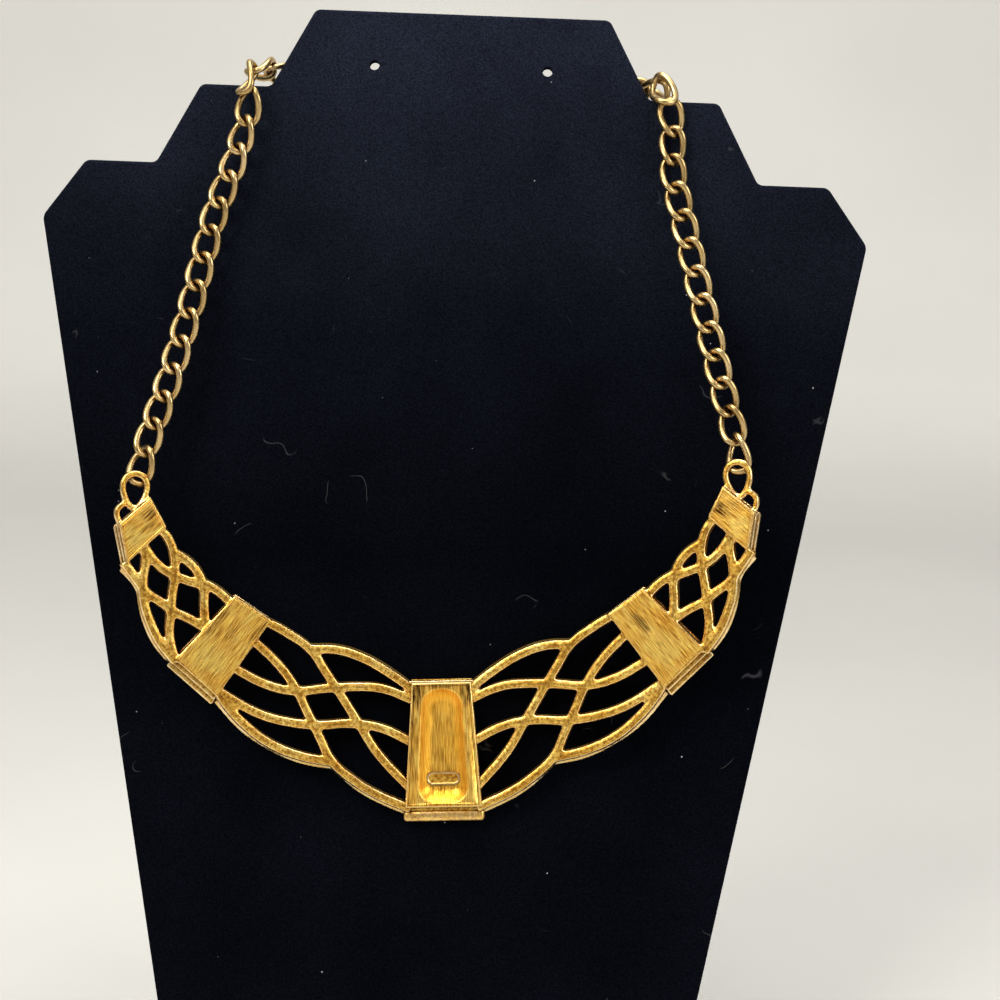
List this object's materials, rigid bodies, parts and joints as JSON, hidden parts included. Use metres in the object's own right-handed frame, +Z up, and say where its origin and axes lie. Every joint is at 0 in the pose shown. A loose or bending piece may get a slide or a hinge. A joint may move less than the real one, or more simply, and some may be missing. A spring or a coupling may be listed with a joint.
{
  "type": "bib necklace on a display easel",
  "caption": "Pierced, woven-strand bib necklace with plain plates and a curb chain, hung reverse side out on a stepped velvet easel board.",
  "frame": {"origin": "middle of the bounding box on the floor that the board and its strut stand on", "axes": "+Z up; -Y is the side that the board's velvet face and the necklace look to; X runs across the board"},
  "size_m": [0.192, 0.0822, 0.2641],
  "materials": {
    "gold_plate": "worn yellow gold plating, brushed on the backs of the plates, with brown tarnish",
    "chain_gold": "paler polished gold plating",
    "velvet": "short-pile navy-black velvet",
    "strut_card": "plain dark paper over stiff card"
  },
  "bodies": {
    "root": {"bib_casting": "gold_plate", "display_board": "velvet", "easel_strut": "strut_card", "link_left_01": "chain_gold", "link_left_02": "chain_gold", "link_left_03": "chain_gold", "link_left_04": "chain_gold", "link_left_05": "chain_gold", "link_left_06": "chain_gold", "link_left_07": "chain_gold", "link_left_08": "chain_gold", "link_left_09": "chain_gold", "link_left_10": "chain_gold", "link_left_11": "chain_gold", "link_left_12": "chain_gold", "link_left_13": "chain_gold", "link_left_14": "chain_gold", "link_left_15": "chain_gold", "link_left_16": "chain_gold", "link_left_17": "chain_gold", "link_left_18": "chain_gold", "link_left_19": "chain_gold", "link_left_20": "chain_gold", "link_left_21": "chain_gold", "link_left_22": "chain_gold", "link_left_23": "chain_gold", "link_right_01": "chain_gold", "link_right_02": "chain_gold", "link_right_03": "chain_gold", "link_right_04": "chain_gold", "link_right_05": "chain_gold", "link_right_06": "chain_gold", "link_right_07": "chain_gold", "link_right_08": "chain_gold", "link_right_09": "chain_gold", "link_right_10": "chain_gold", "link_right_11": "chain_gold", "link_right_12": "chain_gold", "link_right_13": "chain_gold", "link_right_14": "chain_gold", "link_right_15": "chain_gold", "link_right_16": "chain_gold", "link_right_17": "chain_gold", "link_right_18": "chain_gold", "link_right_19": "chain_gold", "link_right_20": "chain_gold", "link_right_21": "chain_gold", "clasp": "chain_gold"}
  },
  "joints": []
}
